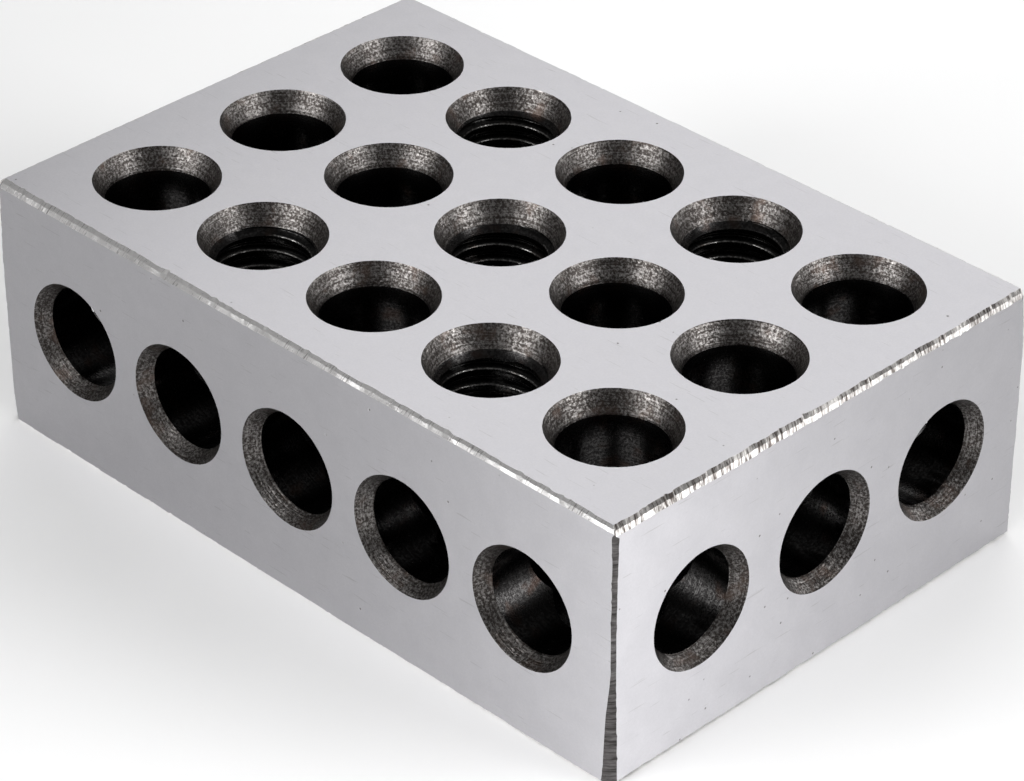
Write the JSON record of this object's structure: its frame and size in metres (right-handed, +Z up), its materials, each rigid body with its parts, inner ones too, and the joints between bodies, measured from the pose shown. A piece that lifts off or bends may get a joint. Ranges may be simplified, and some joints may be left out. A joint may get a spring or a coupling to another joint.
{
  "type": "machinist setup block",
  "caption": "Ground steel setup block with a lattice of countersunk plain and tapped holes crossing through it from every face.",
  "frame": {"origin": "centre of the large face that it stands on", "axes": "+X along the length, +Y across the width, +Z up from the face that it stands on"},
  "size_m": [0.0762, 0.0508, 0.0254],
  "materials": {
    "ground_steel": "surface ground, with dark unground holes"
  },
  "bodies": {
    "root": {"setup_block": "ground_steel"}
  },
  "joints": []
}
